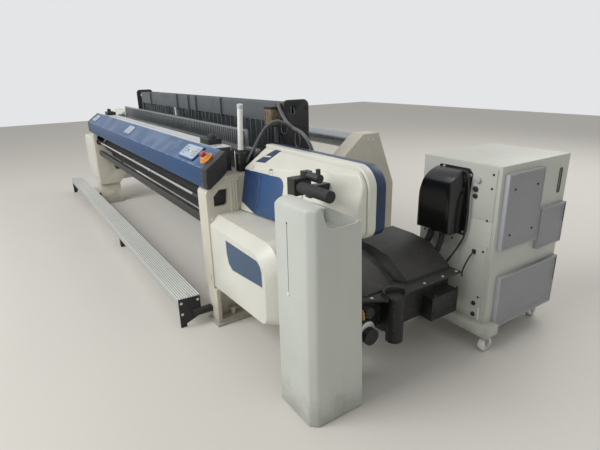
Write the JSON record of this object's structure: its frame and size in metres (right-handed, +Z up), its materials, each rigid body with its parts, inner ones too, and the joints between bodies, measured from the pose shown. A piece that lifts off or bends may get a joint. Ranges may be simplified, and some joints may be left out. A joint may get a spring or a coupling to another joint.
{
  "type": "power loom",
  "caption": "Wide rapier power loom with blue hood, cream end housings, heald frames, warp beam, waste bin and wheeled control cabinet",
  "frame": {"origin": "bottom centre of the bounding box, on the floor", "axes": "+X along the weft toward the drive and waste bin end, +Y from the weaver to the warp beam, +Z up"},
  "size_m": [5.516, 1.942, 1.335],
  "materials": {
    "frame_paint": "satin ivory machine paint, chipped at the edges",
    "beam_paint": "satin dark grey paint, oily",
    "hood_blue": "satin blue powder coat",
    "black_plastic": "fine grained black moulding",
    "table_steel": "brushed stainless sheet",
    "pad_plastic": "light grey key pad film",
    "green_plastic": "glossy green cap",
    "white_plastic": "glossy white plastic",
    "yellow_plastic": "glossy yellow cap",
    "amber_plastic": "amber ring",
    "red_plastic": "glossy red mushroom",
    "bright_chrome": "bright chromed rod",
    "grip_rubber": "black grip rubber",
    "sley_aluminium": "cast aluminium",
    "reed_steel": "fine steel dents",
    "black_castings": "black enamelled casting, dusty",
    "heald_aluminium": "anodised profile",
    "roller_steel": "turned steel",
    "beam_aluminium": "machined aluminium",
    "cream_plastic": "cream moulded cover",
    "badge_grey": "dark blue grey bare plate",
    "blue_plastic": "blue moulded cover",
    "bin_plastic": "light grey rotomoulded bin",
    "dobby_plastic": "dull black cover with dust",
    "cabinet_paint": "light grey cabinet paint",
    "screen_paint": "perforated grey sheet",
    "wheel_plastic": "white nylon wheel",
    "plank_aluminium": "ribbed aluminium extrusion"
  },
  "bodies": {
    "loom_frame": {"side_frame_right": "frame_paint", "side_frame_left": "frame_paint", "feet": "frame_paint", "breast_beam": "beam_paint", "cross_beams": "beam_paint", "hood_cover": "hood_blue", "hood_caps": "black_plastic", "cloth_table": "table_steel", "keypads": "pad_plastic", "emergency_base": "amber_plastic", "guide_sockets": "black_plastic", "temples": "black_castings", "rapier_guides": "black_castings", "harness_guides": "black_castings", "let_off_gearbox": "beam_paint", "lower_housing_right": "cream_plastic", "badge_plate": "badge_grey", "upper_housing_right": "cream_plastic", "rear_band": "blue_plastic", "waste_bin": "bin_plastic", "waste_drive": "black_plastic", "dobby_case": "black_castings", "dobby_cover": "dobby_plastic", "lower_housing_left": "cream_plastic", "upper_housing_left": "cream_plastic", "lamp_post": "white_plastic", "cabinet_body": "cabinet_paint", "lint_screens": "screen_paint", "drive_cover": "black_plastic", "cabinet_plinth": "cabinet_paint", "plank": "plank_aluminium", "plank_ends": "black_plastic"},
    "door": {"access_door": "blue_plastic"},
    "start_button": {"start_button": "green_plastic"},
    "stop_button": {"stop_button": "white_plastic"},
    "slow_button": {"slow_button": "yellow_plastic"},
    "emergency_button": {"emergency_button": "red_plastic"},
    "guide_rod": {"guide_rod": "bright_chrome"},
    "take_up_roller": {"take_up_roller": "grip_rubber"},
    "press_roller": {"press_roller": "grip_rubber"},
    "back_rest_roller": {"back_rest_roller": "roller_steel"},
    "warp_beam": {"warp_beam": "beam_aluminium"},
    "let_off_pinion": {"let_off_pinion": "roller_steel"},
    "waste_roller": {"waste_roller": "grip_rubber"},
    "sley": {"sley": "sley_aluminium", "reed": "reed_steel"},
    "rapier_right": {"rapier_right": "reed_steel"},
    "rapier_left": {"rapier_left": "reed_steel"},
    "heald_frame_1": {"heald_frame_1": "heald_aluminium"},
    "heald_frame_2": {"heald_frame_2": "heald_aluminium"},
    "heald_frame_3": {"heald_frame_3": "heald_aluminium"},
    "heald_frame_4": {"heald_frame_4": "heald_aluminium"},
    "heald_frame_5": {"heald_frame_5": "heald_aluminium"},
    "heald_frame_6": {"heald_frame_6": "heald_aluminium"},
    "fork_right": {"caster_fork_right": "roller_steel"},
    "wheel_front_right": {"caster_wheel_front_right": "wheel_plastic"},
    "fork_left": {"caster_fork_left": "roller_steel"},
    "wheel_front_left": {"caster_wheel_front_left": "wheel_plastic"},
    "wheel_rear_right": {"caster_wheel_rear_right": "wheel_plastic"},
    "wheel_rear_left": {"caster_wheel_rear_left": "wheel_plastic"}
  },
  "joints": [
    {"name": "door_hinge", "type": "hinge", "parent": "loom_frame", "child": "door", "pos_m": [1.7498, -0.48179, 0.97899], "axis": [0.9925, 0.1219, 0], "range_deg": [-58, 0]},
    {"name": "start_button_travel", "type": "slide", "parent": "loom_frame", "child": "start_button", "axis": [0, 0.5988, -0.8009], "range_m": [0, 0.0025], "stiffness_N_per_m": 900},
    {"name": "stop_button_travel", "type": "slide", "parent": "loom_frame", "child": "stop_button", "axis": [0, 0.5988, -0.8009], "range_m": [0, 0.0025], "stiffness_N_per_m": 900},
    {"name": "slow_button_travel", "type": "slide", "parent": "loom_frame", "child": "slow_button", "axis": [0, 0.5988, -0.8009], "range_m": [0, 0.0025], "stiffness_N_per_m": 900},
    {"name": "emergency_button_travel", "type": "slide", "parent": "loom_frame", "child": "emergency_button", "axis": [0, 0.5988, -0.8009], "range_m": [0, 0.004], "stiffness_N_per_m": 2500},
    {"name": "guide_rod_spin", "type": "hinge", "parent": "loom_frame", "child": "guide_rod", "pos_m": [-0.192, -0.704, 0.765], "axis": [1, 0, 0], "continuous": true},
    {"name": "take_up_spin", "type": "hinge", "parent": "loom_frame", "child": "take_up_roller", "pos_m": [-0.192, -0.574, 0.72], "axis": [1, 0, 0], "continuous": true},
    {"name": "press_roller_spin", "type": "hinge", "parent": "loom_frame", "child": "press_roller", "pos_m": [-0.192, -0.54338, 0.60573], "axis": [1, 0, 0], "continuous": true},
    {"name": "back_rest_spin", "type": "hinge", "parent": "loom_frame", "child": "back_rest_roller", "pos_m": [-0.192, 0.486, 1.01], "axis": [1, 0, 0], "continuous": true},
    {"name": "warp_beam_spin", "type": "hinge", "parent": "loom_frame", "child": "warp_beam", "pos_m": [-0.192, 0.566, 0.47], "axis": [1, 0, 0], "continuous": true},
    {"name": "let_off_pinion_spin", "type": "hinge", "parent": "loom_frame", "child": "let_off_pinion", "pos_m": [1.388, 0.35401, 0.54716], "axis": [1, 0, 0], "continuous": true},
    {"name": "waste_roller_spin", "type": "hinge", "parent": "loom_frame", "child": "waste_roller", "pos_m": [2.408, -0.589, 1.003], "axis": [1, 0, 0], "continuous": true},
    {"name": "sley_swing", "type": "hinge", "parent": "loom_frame", "child": "sley", "pos_m": [-0.192, -0.334, 0.56], "axis": [1, 0, 0], "range_deg": [0, 11]},
    {"name": "rapier_right_slide", "type": "slide", "parent": "loom_frame", "child": "rapier_right", "axis": [1, 0, 0], "range_m": [-0.45, 0]},
    {"name": "rapier_left_slide", "type": "slide", "parent": "loom_frame", "child": "rapier_left", "axis": [-1, 0, 0], "range_m": [-0.45, 0]},
    {"name": "heald_frame_1_lift", "type": "slide", "parent": "loom_frame", "child": "heald_frame_1", "axis": [0, 0, 1], "range_m": [-0.045, 0.045]},
    {"name": "heald_frame_2_lift", "type": "slide", "parent": "loom_frame", "child": "heald_frame_2", "axis": [0, 0, 1], "range_m": [-0.045, 0.045]},
    {"name": "heald_frame_3_lift", "type": "slide", "parent": "loom_frame", "child": "heald_frame_3", "axis": [0, 0, 1], "range_m": [-0.045, 0.045]},
    {"name": "heald_frame_4_lift", "type": "slide", "parent": "loom_frame", "child": "heald_frame_4", "axis": [0, 0, 1], "range_m": [-0.045, 0.045]},
    {"name": "heald_frame_5_lift", "type": "slide", "parent": "loom_frame", "child": "heald_frame_5", "axis": [0, 0, 1], "range_m": [-0.045, 0.045]},
    {"name": "heald_frame_6_lift", "type": "slide", "parent": "loom_frame", "child": "heald_frame_6", "axis": [0, 0, 1], "range_m": [-0.045, 0.045]},
    {"name": "fork_right_swivel", "type": "hinge", "parent": "loom_frame", "child": "fork_right", "pos_m": [2.72, 0.333, 0.09], "axis": [0, 0, 1], "continuous": true},
    {"name": "wheel_front_right_spin", "type": "hinge", "parent": "fork_right", "child": "wheel_front_right", "pos_m": [2.72, 0.347, 0.042], "axis": [1, 0, 0], "continuous": true},
    {"name": "fork_left_swivel", "type": "hinge", "parent": "loom_frame", "child": "fork_left", "pos_m": [2.263, 0.333, 0.09], "axis": [0, 0, 1], "continuous": true},
    {"name": "wheel_front_left_spin", "type": "hinge", "parent": "fork_left", "child": "wheel_front_left", "pos_m": [2.263, 0.347, 0.042], "axis": [1, 0, 0], "continuous": true},
    {"name": "wheel_rear_right_spin", "type": "hinge", "parent": "loom_frame", "child": "wheel_rear_right", "pos_m": [2.648, 0.916, 0.042], "axis": [1, 0, 0], "continuous": true},
    {"name": "wheel_rear_left_spin", "type": "hinge", "parent": "loom_frame", "child": "wheel_rear_left", "pos_m": [2.263, 0.916, 0.042], "axis": [1, 0, 0], "continuous": true}
  ],
  "couplings": [
    {"joint": "press_roller_spin", "follows": "take_up_spin", "ratio": -2.1053},
    {"joint": "let_off_pinion_spin", "follows": "warp_beam_spin", "ratio": -4}
  ]
}
